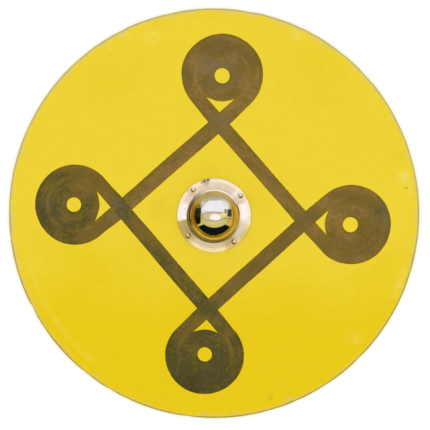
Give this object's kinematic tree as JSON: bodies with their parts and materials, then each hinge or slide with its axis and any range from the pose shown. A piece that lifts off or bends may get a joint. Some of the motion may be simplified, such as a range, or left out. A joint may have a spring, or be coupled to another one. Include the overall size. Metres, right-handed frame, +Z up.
{
  "type": "round shield",
  "caption": "Dished round wooden shield, painted yellow with a brown looped square, with a riveted brass boss over the hand hole and a wooden grip behind.",
  "frame": {"origin": "on the floor under the centre of the shield, which lies face up on its rim", "axes": "+Z up, out of the painted face and through the crown of the boss; +Y towards the knot's top loop"},
  "size_m": [0.8798, 0.8798, 0.1127],
  "materials": {
    "painted_board": "satin yellow paint with a brown knot on the face, worn to bare wood at the rim, bare wood behind",
    "boss_brass": "polished, with fine scratches and one dull dent on the flange",
    "rivet_brass": "polished heads, dull tails",
    "grip_wood": "bare, smooth and darkened by the hand"
  },
  "bodies": {
    "root": {"board": "painted_board", "boss": "boss_brass", "rivet_1": "rivet_brass", "rivet_2": "rivet_brass", "rivet_3": "rivet_brass", "rivet_4": "rivet_brass", "grip": "grip_wood"}
  },
  "joints": []
}
